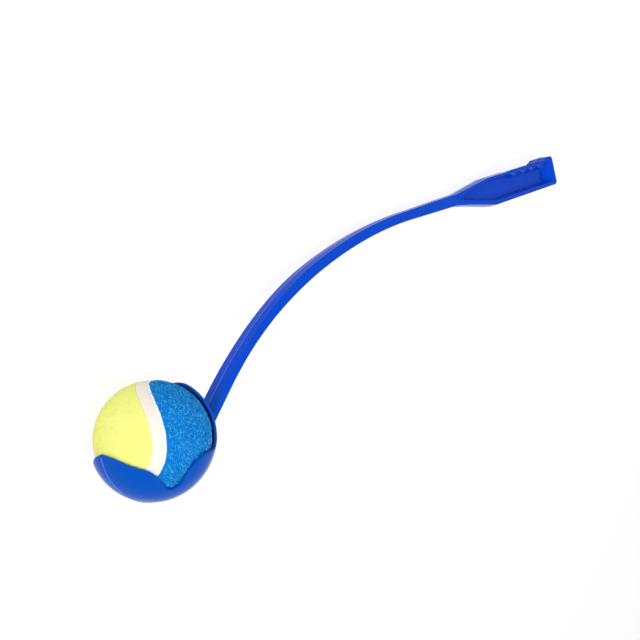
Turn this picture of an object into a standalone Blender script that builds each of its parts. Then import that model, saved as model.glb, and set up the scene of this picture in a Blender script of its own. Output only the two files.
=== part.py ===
"""Dog ball thrower: one moulded cup, arm and handle, gripping a felt-covered rubber ball.

Lengths are in metres. Everything is drawn in the thrower's own axes: the ball's centre is the
origin, X runs along the chord to the handle, Y is the side that the arm bows towards, and Z is
square to the plane of symmetry, in which the mould splits. The last section lays the thrower
down on its side, on the ball and two points of the handle, with +Z up.
"""
from math import atan2, cos, pi, radians, sin, sqrt, tan

import bmesh
import bpy
from mathutils import Euler, Matrix, Vector

# Ball: a hollow rubber core of two halves, and three felts with a cement bead in each join
BALL_RADIUS = 0.0325
FELT_THICKNESS = 0.0037
CORE_WALL = 0.0033
BAND_WIDTH = 0.0060
BEAD_WIDTH = 0.0006
BEAD_SINK = 0.0005
FELT_EDGE_SINK = 0.0004
PIECE_GAP = 0.0003
SEAM_WAVE_SHARE = 0.22
MIDDLE_LINE_SHARE = 0.68
BALL_TURN = (radians(148), radians(-40), radians(107))

# Cup: a thin shell round the ball, with a lobe in front, a lobe behind and a low bump at each side
BALL_CLEARANCE = 0.0004
CUP_WALL = 0.0016
RIM_FLARE = 0.0005
BACK_FLARE = 0.0010
OPENING_HEADING = radians(104.4)

# Arm: a strip that leaves the cup straight and bends in two arcs, wide and thin to narrow and deep
ARM_OFFSET = 0.0253
ARM_HEADING = radians(29.2)
ROOT_LENGTH = 0.0494
FIRST_BEND_RADIUS = 0.274
FIRST_BEND = radians(23.6)
SECOND_BEND_RADIUS = 0.417
SECOND_BEND = radians(14.6)
NECK_LENGTH = 0.0628
ARM_ROOT_WIDTH = 0.0162
ARM_NECK_WIDTH = 0.0100
ARM_NARROWING_SHARE = 0.78
ARM_ROOT_DEPTH = 0.0050
ARM_MIDDLE_DEPTH = 0.0076
ARM_NECK_DEPTH = 0.0092
DEEPENING_SHARES = (0.15, 0.42)
NECK_SHARES = (0.78, 1.00)
EDGE_ROUND = 0.0008
DRAFT = radians(3.5)

# Handle: a flared grip with a hooked end, finger grooves and a pocket in each side
HANDLE_LENGTH = 0.148
TOP_TAPER_START = 0.0055
SHOULDER_AT = 0.0475
BOTTOM_BEND_AT = 0.0180
BOTTOM_CORNER_AT = 0.0512
HANDLE_TOP = 0.0096
BOTTOM_BEND = 0.0076
HANDLE_BOTTOM = 0.0142
SHOULDER_WIDTH = 0.0140
END_WIDTH = 0.0180
HOOK_RISE = 0.0022
HOOK_LENGTH = 0.0080
END_ROUND = 0.0035
GROOVES = 4
GROOVE_DEPTH = 0.0032
FIRST_GROOVE_SHARE = 0.573
GROOVE_PITCH_SHARE = 0.0926
TOP_WALL = 0.0024
BOTTOM_WALL = 0.0039
END_WALL = 0.0026
WEB = 0.0034
POCKET_START = 0.0095
POCKET_START_RISE = 0.0012
POCKET_START_FALL = 0.0020
POCKET_END_SLOPE = 0.0070
POCKET_SIDE_SLOPE = 0.0014
POCKET_ROUND = 0.0020
CUTTER_OVERRUN = 0.0020

# How finely curved faces are divided
SEAM_STEPS = 60
FELT_RINGS = 5
CORE_SEGMENTS = 32
CORE_RINGS = 7
RIM_STEPS = 88
CUP_RINGS = 10
LIP_STEPS = 4
ARC_STEP = 0.0100
GRIP_STEP = 0.0050
GROOVE_STEP = 0.0019
END_STEPS = 4
BAND_COLUMNS = 4
FIRST_UP = (-0.04, -0.44, 0.90)
SETTLING_ROUNDS = 8
WELD = 0.000001

# The cup's rim as azimuth and angle from the opening's axis, in degrees: -90 is the front lobe's
# tip, 0 the side bump and 90 the tip of the lobe by the arm
RIM_ANGLES = (
    (-90, 59.5), (-77, 63), (-67, 69), (-59, 76), (-52, 82.5), (-47, 89), (-44.7, 97), (-44.5, 105),
    (-45.2, 112), (-44.4, 118), (-40, 121.4), (-33, 119.8), (-24.5, 115.6), (-14.5, 111.8),
    (-4.5, 110.4), (4, 112), (12, 116.2), (20, 120.5), (29, 123), (38, 121.8), (45, 115), (50.5, 106),
    (56, 95), (61, 85), (67, 76.5), (76, 71), (90, 69.5),
)

# Sizes that follow from those above
CUP_INNER = BALL_RADIUS + BALL_CLEARANCE
CUP_OUTER = CUP_INNER + CUP_WALL
CUP_MIDDLE = CUP_INNER + CUP_WALL / 2
FELT_INNER = BALL_RADIUS - FELT_THICKNESS
CORE_OUTER = FELT_INNER - PIECE_GAP
CORE_INNER = CORE_OUTER - CORE_WALL
BEAD_START = BAND_WIDTH / 2 + PIECE_GAP
FELT_START = BEAD_START + BEAD_WIDTH + PIECE_GAP
FIRST_ARC = FIRST_BEND_RADIUS * FIRST_BEND
SECOND_ARC = SECOND_BEND_RADIUS * SECOND_BEND
NECK_AT = ROOT_LENGTH + FIRST_ARC + SECOND_ARC + NECK_LENGTH
PATH_LENGTH = NECK_AT + HANDLE_LENGTH
ARM_START = sqrt(CUP_OUTER ** 2 - ARM_OFFSET ** 2)
FIRST_GROOVE = HANDLE_LENGTH * FIRST_GROOVE_SHARE
GROOVE_PITCH = HANDLE_LENGTH * GROOVE_PITCH_SHARE
LAST_GROOVE = FIRST_GROOVE + (GROOVES - 1) * GROOVE_PITCH
GROOVES_END = LAST_GROOVE + GROOVE_PITCH / 2
ARM_HALF_DEPTH = ARM_NECK_DEPTH / 2
POCKET_END = HANDLE_LENGTH - END_WALL
OPENING = Vector((cos(OPENING_HEADING), sin(OPENING_HEADING), 0))
BEHIND = Vector((sin(OPENING_HEADING), -cos(OPENING_HEADING), 0))
SIDE = Vector((0, 0, 1))


def clear_scene():
    for thing in list(bpy.data.objects):
        bpy.data.objects.remove(thing, do_unlink=True)


def linear(channel):
    return channel / 12.92 if channel <= 0.04045 else ((channel + 0.055) / 1.055) ** 2.4


def material(name, colour, roughness):
    """A Principled material from an sRGB hex colour."""
    made = bpy.data.materials.new(name)
    made.use_nodes = True
    shader = made.node_tree.nodes["Principled BSDF"]
    channels = [int(colour[i:i + 2], 16) / 255 for i in (1, 3, 5)]
    shader.inputs["Base Color"].default_value = (*[linear(c) for c in channels], 1)
    shader.inputs["Roughness"].default_value = roughness
    shader.inputs["Metallic"].default_value = 0
    return made


def add_object(name, mesh, look, parent):
    """Puts a bmesh into the scene as a named object with outward faces, shaded smooth."""
    bmesh.ops.recalc_face_normals(mesh, faces=mesh.faces)
    data = bpy.data.meshes.new(name)
    mesh.to_mesh(data)
    mesh.free()
    data.shade_smooth()
    data.set_sharp_from_angle(angle=radians(32))
    data.materials.append(look)
    thing = bpy.data.objects.new(name, data)
    bpy.context.scene.collection.objects.link(thing)
    thing.parent = parent
    return thing


def add_empty(name, parent=None):
    thing = bpy.data.objects.new(name, None)
    thing.empty_display_size = BALL_RADIUS
    bpy.context.scene.collection.objects.link(thing)
    thing.parent = parent
    return thing


def add_boolean(thing, operation, tool):
    """Adds an exact Boolean and leaves its tool in the scene as a wire guide."""
    modifier = thing.modifiers.new(tool.name, "BOOLEAN")
    modifier.operation = operation
    modifier.solver = "EXACT"
    modifier.object = tool
    tool.hide_render = True
    tool.display_type = "WIRE"


def ease(share):
    """Runs from 0 to 1 with no kink at either end."""
    share = min(max(share, 0), 1)
    return share * share * (3 - 2 * share)


def smooth_through(points, place):
    """A smooth curve through points, read at a place that counts from 0 at the first point."""
    i = min(int(place), len(points) - 2)
    t = place - i
    around = (points[max(i - 1, 0)], points[i], points[i + 1], points[min(i + 2, len(points) - 1)])
    curve = []
    for before, start, end, after in zip(*around):
        bend = 2 * before - 5 * start + 4 * end - after + t * (3 * (start - end) + after - before)
        curve.append(start + t * (end - before + t * bend) / 2)
    return curve


def between(start, end, share):
    """The unit direction a share of the way along the great circle from start to end."""
    angle = start.angle(end, 0)
    if angle == 0:
        return start.copy()
    return (start * sin((1 - share) * angle) + end * sin(share * angle)) / sin(angle)


def skin_rows(mesh, rows, closed=False):
    """Joins equally long rings of vertices with quads; closed joins the last row to the first."""
    count = len(rows)
    for i in range(count if closed else count - 1):
        row, following = rows[i], rows[(i + 1) % count]
        for j in range(len(row)):
            k = (j + 1) % len(row)
            mesh.faces.new((row[j], row[k], following[k], following[j]))


def cap_with_point(mesh, row, point):
    """Closes a ring of vertices with a fan round one point."""
    tip = mesh.verts.new(point)
    for j in range(len(row)):
        mesh.faces.new((row[j], row[(j + 1) % len(row)], tip))


# The ball


def seam_point(turn):
    """A point of the wavy closed curve along which a two-panel ball is joined."""
    wave = SEAM_WAVE_SHARE
    x = (1 - wave) * cos(turn) + wave * cos(3 * turn)
    y = (1 - wave) * sin(turn) - wave * sin(3 * turn)
    z = 2 * sqrt((1 - wave) * wave) * sin(2 * turn)
    return Vector((x, y, z)).normalized()


def beside_seam(turn, distance):
    """The direction of a point on the ball's surface, a distance to one side of the seam curve."""
    here = seam_point(turn)
    nudge = pi / (SEAM_STEPS * SEAM_STEPS)
    along = (seam_point(turn + nudge) - seam_point(turn - nudge)).normalized()
    angle = distance / BALL_RADIUS
    return here * cos(angle) + here.cross(along) * sin(angle)


def seam_turns():
    return [2 * pi * (i + 0.5) / SEAM_STEPS for i in range(SEAM_STEPS)]


def seam_strip(name, low, high, top_radius, columns, look, parent):
    """A closed strip that follows the seam curve, from one distance beside it to another."""
    mesh = bmesh.new()
    rows = []
    for turn in seam_turns():
        places = [low + (high - low) * i / columns for i in range(columns + 1)]
        ring = []
        for i, place in enumerate(places):
            sink = FELT_EDGE_SINK if columns > 1 and i in (0, columns) else 0
            ring.append(beside_seam(turn, place) * (top_radius - sink))
        for place in reversed(places):
            ring.append(beside_seam(turn, place) * FELT_INNER)
        rows.append([mesh.verts.new(point) for point in ring])
    skin_rows(mesh, rows, closed=True)
    return add_object(name, mesh, look, parent)


def felt_panel(name, side, look, parent):
    """One dumbbell panel of felt: spokes run from its middle line out to its edge by the seam."""
    pole = Vector((0, 0, side))
    length = Vector((1, -side, 0)).normalized()
    mesh = bmesh.new()
    top, bottom = [], []
    for turn in seam_turns():
        edge = beside_seam(turn, side * FELT_START)
        inset = beside_seam(turn, side * (FELT_START + FELT_EDGE_SINK))
        angle = MIDDLE_LINE_SHARE * atan2(edge.dot(length), edge.dot(pole))
        middle = pole * cos(angle) + length * sin(angle)
        spoke = [between(middle, inset, i / FELT_RINGS) for i in range(FELT_RINGS + 1)]
        top.append([mesh.verts.new(place * BALL_RADIUS) for place in spoke])
        top[-1].append(mesh.verts.new(edge * (BALL_RADIUS - FELT_EDGE_SINK)))
        spoke = [between(middle, edge, i / FELT_RINGS) for i in range(FELT_RINGS + 1)]
        bottom.append([mesh.verts.new(place * FELT_INNER) for place in spoke])
    for i in range(SEAM_STEPS):
        k = (i + 1) % SEAM_STEPS
        for spokes in (top, bottom):
            for j in range(len(spokes[i]) - 1):
                mesh.faces.new((spokes[i][j], spokes[i][j + 1], spokes[k][j + 1], spokes[k][j]))
        mesh.faces.new((top[i][-1], top[k][-1], bottom[k][-1], bottom[i][-1]))
    bmesh.ops.remove_doubles(mesh, verts=mesh.verts, dist=WELD)
    return add_object(name, mesh, look, parent)


def core_half(name, side, look, parent):
    """Half of the hollow rubber core, turned about the opening's axis."""
    mesh = bmesh.new()
    outside, inside = [], []
    for radius, profile in ((CORE_OUTER, outside), (CORE_INNER, inside)):
        face = PIECE_GAP / 2 / radius
        for i in range(CORE_RINGS):
            angle = face + (pi / 2 - face) * i / CORE_RINGS
            profile.append((radius * cos(angle), radius * sin(angle)))
    rows = []
    for across, height in outside[::-1] + inside:
        ring = []
        for j in range(CORE_SEGMENTS):
            turn = 2 * pi * j / CORE_SEGMENTS
            spot = OPENING * height * side + (BEHIND * cos(turn) + SIDE * sin(turn)) * across
            ring.append(mesh.verts.new(spot))
        rows.append(ring)
    skin_rows(mesh, rows)
    cap_with_point(mesh, rows[0], OPENING * CORE_OUTER * side)
    cap_with_point(mesh, rows[-1], OPENING * CORE_INNER * side)
    return add_object(name, mesh, look, parent)


# The cup


def rim_directions():
    """Unit directions of the rim, evenly spaced all round, with their azimuth from side to side."""
    fine = []
    steps = RIM_STEPS * RIM_STEPS
    for i in range(steps + 1):
        azimuth, polar = smooth_through(RIM_ANGLES, (len(RIM_ANGLES) - 1) * i / steps)
        fine.append(rim_direction(radians(azimuth), radians(polar)))
    lengths = [0]
    for here, following in zip(fine, fine[1:]):
        lengths.append(lengths[-1] + (following - here).length)
    half = RIM_STEPS // 2
    near = []
    k = 0
    for i in range(half + 1):
        while k < steps and lengths[k] < lengths[-1] * i / half:
            k += 1
        near.append(fine[k])
    far = [Vector((place.x, place.y, -place.z)) for place in near[-2:0:-1]]
    return near + far


def rim_direction(azimuth, polar):
    across = SIDE * cos(azimuth) + BEHIND * sin(azimuth)
    return OPENING * cos(polar) + across * sin(polar)


def flared(edge, share, radius):
    """A point a share of the way up to the edge, which stands off the ball at the sides and the back."""
    lean = edge.dot(BEHIND)
    flare = RIM_FLARE * (1 + min(lean, 0)) + BACK_FLARE * max(lean, 0) ** 2
    return between(-OPENING, edge, share) * (radius + flare * share ** 3)


def cup_shell():
    """The cup as rings from its lowest point up the outside, over the round lip and back down."""
    mesh = bmesh.new()
    rim = rim_directions()
    spokes = []
    for i, place in enumerate(rim):
        along = (rim[(i + 1) % RIM_STEPS] - rim[i - 1]).normalized()
        outward = place.cross(along).normalized()
        edge = (place * CUP_MIDDLE - outward * CUP_WALL / 2).normalized()
        spokes.append((edge, flared(edge, 1, CUP_MIDDLE), outward))
    rows = []
    for k in range(1, CUP_RINGS + 1):
        rows.append([flared(edge, k / CUP_RINGS, CUP_OUTER) for edge, lip, outward in spokes])
    for k in range(1, LIP_STEPS):
        angle = pi * k / LIP_STEPS
        row = []
        for edge, lip, outward in spokes:
            row.append(lip + (edge * cos(angle) + outward * sin(angle)) * CUP_WALL / 2)
        rows.append(row)
    for k in range(CUP_RINGS, 0, -1):
        rows.append([flared(edge, k / CUP_RINGS, CUP_INNER) for edge, lip, outward in spokes])
    made = [[mesh.verts.new(point) for point in row] for row in rows]
    skin_rows(mesh, made)
    cap_with_point(mesh, made[0], -OPENING * CUP_OUTER)
    cap_with_point(mesh, made[-1], -OPENING * CUP_INNER)
    return mesh


# The arm and the handle


def path_place(distance):
    """Where the arm's middle line has got to, and its heading, a distance along it."""
    heading = ARM_HEADING
    place = Vector((sin(heading), -cos(heading), 0)) * ARM_OFFSET
    runs = ((ROOT_LENGTH, 0), (FIRST_ARC, FIRST_BEND_RADIUS), (SECOND_ARC, SECOND_BEND_RADIUS))
    for length, radius in (*runs, (PATH_LENGTH, 0)):
        step = min(distance, length)
        if radius:
            turned = heading - step / radius
            place += Vector((sin(heading) - sin(turned), cos(turned) - cos(heading), 0)) * radius
            heading = turned
        else:
            place += Vector((cos(heading), sin(heading), 0)) * step
        distance -= step
        if distance <= 0:
            break
    return place, heading


def arm_section(distance):
    """The arm's height above and below its middle line and its half width, at a distance."""
    share = (distance - ARM_START) / (NECK_AT - ARM_START)
    width = ARM_ROOT_WIDTH + (ARM_NECK_WIDTH - ARM_ROOT_WIDTH) * min(max(share, 0) / ARM_NARROWING_SHARE, 1)
    depth = ARM_ROOT_DEPTH + (ARM_MIDDLE_DEPTH - ARM_ROOT_DEPTH) * rise(share, DEEPENING_SHARES)
    depth += (ARM_NECK_DEPTH - ARM_MIDDLE_DEPTH) * rise(share, NECK_SHARES)
    return depth / 2, depth / 2, width / 2


def rise(share, span):
    return ease((share - span[0]) / (span[1] - span[0]))


def corner_drop(distance, radius):
    """How far a rounded corner has fallen away, a distance from the end that it rounds."""
    reach = radius - min(max(distance, 0), radius)
    return radius - sqrt(radius ** 2 - reach ** 2)


def through(stations, along):
    """A height read from straight lines between stations, level beyond the last one."""
    for (start, low), (end, high) in zip(stations, stations[1:]):
        if along < end:
            return low + (high - low) * (along - start) / (end - start)
    return stations[-1][1]


def grip_top(along):
    """The upper outline of the handle: taper, finger grooves and the hook at its end."""
    corners = ((0, ARM_HALF_DEPTH), (TOP_TAPER_START, ARM_HALF_DEPTH), (SHOULDER_AT, HANDLE_TOP))
    top = through(corners, along)
    for i in range(GROOVES):
        off = (along - FIRST_GROOVE - i * GROOVE_PITCH) / (GROOVE_PITCH / 2)
        top -= GROOVE_DEPTH * max(1 - off ** 2, 0)
    top += HOOK_RISE * ease((along - GROOVES_END) / HOOK_LENGTH)
    return top - corner_drop(HANDLE_LENGTH - along, END_ROUND)


def grip_bottom(along):
    corners = ((0, ARM_HALF_DEPTH), (BOTTOM_BEND_AT, BOTTOM_BEND), (BOTTOM_CORNER_AT, HANDLE_BOTTOM))
    return through(corners, along) - corner_drop(HANDLE_LENGTH - along, END_ROUND)


def pocket_top(along):
    """The pocket's upper outline: a straight run up to the shoulder, then a wall's width inside."""
    if along > SHOULDER_AT:
        return grip_top(along) - TOP_WALL
    return through(((POCKET_START, POCKET_START_RISE), (SHOULDER_AT, HANDLE_TOP - TOP_WALL)), along)


def pocket_bottom(along):
    if along > BOTTOM_CORNER_AT:
        return grip_bottom(along) - BOTTOM_WALL
    return through(((POCKET_START, POCKET_START_FALL), (BOTTOM_CORNER_AT, HANDLE_BOTTOM - BOTTOM_WALL)), along)


def grip_half_width(along):
    if along < SHOULDER_AT:
        return (ARM_NECK_WIDTH + (SHOULDER_WIDTH - ARM_NECK_WIDTH) * along / SHOULDER_AT) / 2
    share = (along - SHOULDER_AT) / (HANDLE_LENGTH - SHOULDER_AT)
    return (SHOULDER_WIDTH + (END_WIDTH - SHOULDER_WIDTH) * share) / 2


def spread(start, end, step):
    """Evenly spaced places from start up to, but not with, end, at most a step apart."""
    count = max(round((end - start) / step), 1)
    return [start + (end - start) * i / count for i in range(count)]


def grip_places():
    """The places along the handle where its outline needs a section."""
    grooved_from = FIRST_GROOVE - GROOVE_PITCH / 2
    corners = sorted([0, TOP_TAPER_START, BOTTOM_BEND_AT, SHOULDER_AT, BOTTOM_CORNER_AT])
    places = []
    for start, end in zip(corners, corners[1:]):
        places += spread(start, end, GRIP_STEP)
    places.append(corners[-1])
    for i in range(GROOVES):
        start = grooved_from + i * GROOVE_PITCH
        places += spread(start, start + GROOVE_PITCH, GROOVE_STEP)
    places += spread(GROOVES_END, HANDLE_LENGTH - END_ROUND, GROOVE_STEP)
    for k in range(END_STEPS + 1):
        places.append(HANDLE_LENGTH - END_ROUND * cos(pi / 2 * k / END_STEPS) if k < END_STEPS else HANDLE_LENGTH)
    return places


def section_ring(place, heading, top, bottom, half):
    """Ten points round a section: a drafted rectangle with small corners and a ridge at the split."""
    lean = (half - EDGE_ROUND) * tan(DRAFT)
    side = (
        (top, 0), (top - lean, half - EDGE_ROUND), (top - lean - EDGE_ROUND, half),
        (lean + EDGE_ROUND - bottom, half), (lean - bottom, half - EDGE_ROUND), (-bottom, 0),
    )
    across = Vector((-sin(heading), cos(heading), 0))
    ring = [place + across * height + SIDE * out for height, out in side]
    ring += [place + across * height - SIDE * out for height, out in side[-2:0:-1]]
    return ring


def arm_and_handle():
    """One skin from inside the cup's wall, along the arm, to the end of the handle."""
    mesh = bmesh.new()
    rows = []
    for distance in spread(ARM_START / 2, NECK_AT, ARC_STEP):
        place, heading = path_place(distance)
        rows.append(section_ring(place, heading, *arm_section(distance)))
    for along in grip_places():
        place, heading = path_place(NECK_AT + along)
        size = (grip_top(along), grip_bottom(along), grip_half_width(along))
        rows.append(section_ring(place, heading, *size))
    made = [[mesh.verts.new(point) for point in row] for row in rows]
    skin_rows(mesh, made)
    mesh.faces.new(made[0])
    mesh.faces.new(made[-1])
    return mesh


def pocket(side):
    """The cutter for one side's pocket, whose floor follows its mouth but ends short of it."""
    places = [POCKET_START, SHOULDER_AT, BOTTOM_CORNER_AT]
    places += [along for along in grip_places() if BOTTOM_CORNER_AT < along < POCKET_END - POCKET_ROUND]
    places += [POCKET_END - POCKET_ROUND / 2, POCKET_END - POCKET_ROUND / 8, POCKET_END]
    mesh = bmesh.new()
    rings = []
    floor = (WEB / 2, POCKET_END_SLOPE, POCKET_SIDE_SLOPE)
    mouth = (END_WIDTH / 2 + CUTTER_OVERRUN, 0, 0)
    for height, slope, inset in (floor, mouth):
        upper, lower = [], []
        for mouth_along in places:
            along = mouth_along - slope * max(mouth_along - GROOVES_END, 0) / (POCKET_END - GROOVES_END)
            drop = corner_drop(POCKET_END - mouth_along, POCKET_ROUND)
            drop += inset * min(1, pocket_top(along) / HANDLE_TOP)
            place, heading = path_place(NECK_AT + along)
            across = Vector((-sin(heading), cos(heading), 0))
            upper.append(place + across * (pocket_top(along) - drop) + SIDE * side * height)
            lower.append(place - across * (pocket_bottom(along) - drop) + SIDE * side * height)
        rings.append([mesh.verts.new(point) for point in upper + lower[::-1]])
    skin_rows(mesh, rings)
    for ring in rings:
        mesh.faces.new(ring)
    return mesh


def ball_space():
    mesh = bmesh.new()
    bmesh.ops.create_uvsphere(mesh, u_segments=CORE_SEGMENTS, v_segments=CORE_SEGMENTS // 2, radius=CUP_MIDDLE)
    return mesh


def world_points(thing):
    shown = thing.evaluated_get(bpy.context.evaluated_depsgraph_get())
    return [thing.matrix_world @ vertex.co for vertex in shown.to_mesh().vertices]


def lay_down(frame, thrower, ball_pieces):
    """Turns the frame so that ball, handle's shoulder and hook touch the floor, mid-box at the origin."""
    bpy.context.view_layer.update()
    grip_x = path_place(NECK_AT + FIRST_GROOVE)[0].x
    shell = world_points(thrower)
    feet = [[point for piece in ball_pieces for point in world_points(piece)]]
    feet.append([point for point in shell if CUP_OUTER < point.x < grip_x])
    feet.append([point for point in shell if point.x > grip_x])
    up = Vector(FIRST_UP)
    for _ in range(SETTLING_ROUNDS):
        low = [min(points, key=up.dot) for points in feet]
        up = (low[2] - low[0]).cross(low[1] - low[0]).normalized()
    ahead = (Vector((1, 0, 0)) - up * up.x).normalized()
    turn = Matrix((ahead, up.cross(ahead), up))
    columns = list(zip(*[turn @ point for point in shell + feet[0]]))
    middle = [(min(column) + max(column)) / 2 for column in columns]
    shift = Matrix.Translation((-middle[0], -middle[1], -min(columns[2])))
    frame.matrix_world = shift @ turn.to_4x4()


def build():
    clear_scene()
    plastic = material("blue_polypropylene", "#0A4BC8", 0.22)
    yellow = material("yellow_felt", "#F2F77A", 0.95)
    white = material("white_felt", "#FBF3EA", 0.9)
    blue = material("blue_felt", "#0A84DC", 0.95)
    cement = material("white_cement", "#F4F8FF", 0.6)
    rubber = material("black_rubber", "#26262A", 0.8)

    frame = add_empty("lying_frame")
    thrower = add_object("thrower", cup_shell(), plastic, frame)
    arm = add_object("arm_blank", arm_and_handle(), plastic, frame)
    add_boolean(arm, "DIFFERENCE", add_object("ball_space", ball_space(), plastic, frame))
    add_boolean(thrower, "UNION", arm)
    add_boolean(thrower, "DIFFERENCE", add_object("upper_pocket", pocket(1), plastic, frame))
    add_boolean(thrower, "DIFFERENCE", add_object("lower_pocket", pocket(-1), plastic, frame))

    ball = add_empty("ball_centre", frame)
    core_half("core_half_outer", 1, rubber, ball)
    core_half("core_half_inner", -1, rubber, ball)
    seam = add_empty("seam_frame", ball)
    seam.rotation_euler = Euler(BALL_TURN)
    half = BAND_WIDTH / 2
    bead_end = BEAD_START + BEAD_WIDTH
    bead_top = BALL_RADIUS - BEAD_SINK
    skins = [
        felt_panel("yellow_felt", 1, yellow, seam),
        felt_panel("blue_felt", -1, blue, seam),
        seam_strip("white_felt_band", -half, half, BALL_RADIUS, BAND_COLUMNS, white, seam),
    ]
    seam_strip("yellow_side_cement", BEAD_START, bead_end, bead_top, 1, cement, seam)
    seam_strip("blue_side_cement", -bead_end, -BEAD_START, bead_top, 1, cement, seam)
    lay_down(frame, thrower, skins)


build()
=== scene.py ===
# %% [markdown]
# # A dog ball thrower and its felt ball
#
# The object is one glossy blue moulding, a cup on a long bowed arm with a hollow-sided grip, and a ball
# covered in yellow, white and blue felt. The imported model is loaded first. It holds the two bodies that
# move, and every piece made below rides on one of them.

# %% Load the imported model
from math import atan2, cos, pi, radians, sin, sqrt, tan

import bmesh
import bpy
import numpy as np
from mathutils import Euler, Matrix, Vector, noise


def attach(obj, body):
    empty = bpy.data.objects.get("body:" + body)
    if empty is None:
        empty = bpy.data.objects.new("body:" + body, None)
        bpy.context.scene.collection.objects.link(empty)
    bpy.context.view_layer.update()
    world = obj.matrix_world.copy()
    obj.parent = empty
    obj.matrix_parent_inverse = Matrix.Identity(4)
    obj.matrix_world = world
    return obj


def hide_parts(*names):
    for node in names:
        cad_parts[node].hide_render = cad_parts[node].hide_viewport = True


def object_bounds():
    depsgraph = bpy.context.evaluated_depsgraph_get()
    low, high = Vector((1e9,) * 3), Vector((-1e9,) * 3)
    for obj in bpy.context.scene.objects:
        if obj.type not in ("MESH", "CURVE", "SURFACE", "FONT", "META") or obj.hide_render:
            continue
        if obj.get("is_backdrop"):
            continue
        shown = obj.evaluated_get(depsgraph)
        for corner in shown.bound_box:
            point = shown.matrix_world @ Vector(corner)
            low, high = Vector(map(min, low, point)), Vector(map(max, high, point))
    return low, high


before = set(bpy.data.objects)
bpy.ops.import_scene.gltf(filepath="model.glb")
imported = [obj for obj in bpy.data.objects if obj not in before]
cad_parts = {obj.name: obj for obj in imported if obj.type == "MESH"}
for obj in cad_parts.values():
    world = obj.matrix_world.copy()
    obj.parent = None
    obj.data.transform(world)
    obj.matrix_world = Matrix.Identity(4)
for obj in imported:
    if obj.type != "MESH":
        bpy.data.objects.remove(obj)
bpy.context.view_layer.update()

# %% [markdown]
# The thrower is easiest to draw in its own axes: the ball's centre is the origin, X runs along the chord
# to the grip, Y is the side that the arm bows towards, and Z is square to the plane in which the mould
# splits. A roll, a tilt and a move then lay it down on the floor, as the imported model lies. Moving the
# points of a mesh, not its object, leaves every object at the origin with clean transforms.

# %% How the thrower lies, in metres
MM = 0.001
ROLL = radians(-26.188)
TILT = radians(2.39314)
BALL_CENTRE = Vector((-221.503, -2.238, 32.422)) * MM
LYING = Matrix.Translation(BALL_CENTRE) @ Euler((ROLL, TILT, 0)).to_matrix().to_4x4()
print("the grip points at", [round(value, 3) for value in LYING.to_3x3() @ Vector((1, 0, 0))])

# %% [markdown]
# ## Colour and shader nodes
#
# Colours are written as sRGB hex codes, as a colour picker shows them, but a renderer adds light, so
# its colours must be linear. One function converts them. A second one adds a shader node with its
# settings and links, so a material reads as a list of nodes.

# %% Helpers for materials


def linear(code):
    """The linear colour, with alpha, of an sRGB hex code."""
    channels = [int(code[i:i + 2], 16) / 255 for i in (1, 3, 5)]
    return (*[c / 12.92 if c <= 0.04045 else ((c + 0.055) / 1.055) ** 2.4 for c in channels], 1)


def add_node(tree, kind, sockets=None, **settings):
    """Adds a node; sockets gives an input, by name or number, a value or the output that feeds it."""
    node = tree.nodes.new("ShaderNode" + kind)
    for name, value in settings.items():
        setattr(node, name, value)
    for name, value in (sockets or {}).items():
        if isinstance(value, bpy.types.NodeSocket):
            tree.links.new(value, node.inputs[name])
        else:
            node.inputs[name].default_value = value
    return node


def start_material(name, **values):
    """A material with its node tree, its Principled shader and the place of each point, in metres."""
    material = bpy.data.materials.new(name)
    material.use_nodes = True
    tree = material.node_tree
    shader = tree.nodes["Principled BSDF"]
    for socket, value in values.items():
        shader.inputs[socket.replace("_", " ")].default_value = value
    place = add_node(tree, "TexCoord").outputs["Object"]
    return material, tree, shader, place


# %% [markdown]
# ## Blue polypropylene
#
# The thrower is moulded in polypropylene, dyed through. The steel mould leaves it glossy, with a faint
# waviness, called orange peel, some 3 mm from crest to crest, and flow marks where the colour is a
# little darker. Polypropylene has an IOR of 1.49. Real mould peel is a few thousandths of a millimetre
# high, so it is a bump and not geometry. The light that passes through the cup's thin wall is painted
# in: near the ball the blue is painted a little greener than on the solid arm. The specular level is far
# below the usual 0.5, because the white all round would otherwise lie over the blue like a veil.

# %% Moulded polypropylene
PEEL_WIDTH = 3 * MM
PEEL_HEIGHT = 0.02 * MM
PEEL_STRENGTH = 0.12
FLOW_WIDTH = 30 * MM
SCUFF_WIDTH = 0.7 * MM
PAINTED_GLOW_WITHIN = 35 * MM
PAINTED_GLOW_BEYOND = 60 * MM

polypropylene, tree, shader, place = start_material("moulded_blue_polypropylene", IOR=1.49)
shader.inputs["Specular IOR Level"].default_value = 0.05
flow = add_node(tree, "TexNoise", {"Vector": place, "Scale": 1 / FLOW_WIDTH, "Detail": 2})
dye = add_node(tree, "Mix", {
    "Factor": flow.outputs["Fac"], 6: linear("#0042C8"), 7: linear("#004ED6"),
}, data_type="RGBA")
from_ball = add_node(tree, "VectorMath", {0: place, 1: BALL_CENTRE}, operation="DISTANCE")
# painted glow: within 35 mm of the ball's centre the blue is mixed towards a greener one, for light
# through the cup's thin wall, fading out by 60 mm
painted_glow_share = add_node(tree, "MapRange", {
    "Value": from_ball.outputs["Value"], "From Min": PAINTED_GLOW_WITHIN, "From Max": PAINTED_GLOW_BEYOND,
    "To Min": 1, "To Max": 0,
})
painted_glow_mix = add_node(tree, "Mix", {
    "Factor": painted_glow_share.outputs["Result"], 6: dye.outputs[2], 7: linear("#0052BE"),
}, data_type="RGBA")
tree.links.new(painted_glow_mix.outputs[2], shader.inputs["Base Color"])
scuffs = add_node(tree, "TexNoise", {"Vector": place, "Scale": 1 / SCUFF_WIDTH, "Detail": 4})
gloss = add_node(tree, "MapRange", {"Value": scuffs.outputs["Fac"], "To Min": 0.10, "To Max": 0.17})
tree.links.new(gloss.outputs["Result"], shader.inputs["Roughness"])
peel = add_node(tree, "TexNoise", {"Vector": place, "Scale": 1 / PEEL_WIDTH, "Detail": 1})
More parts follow.
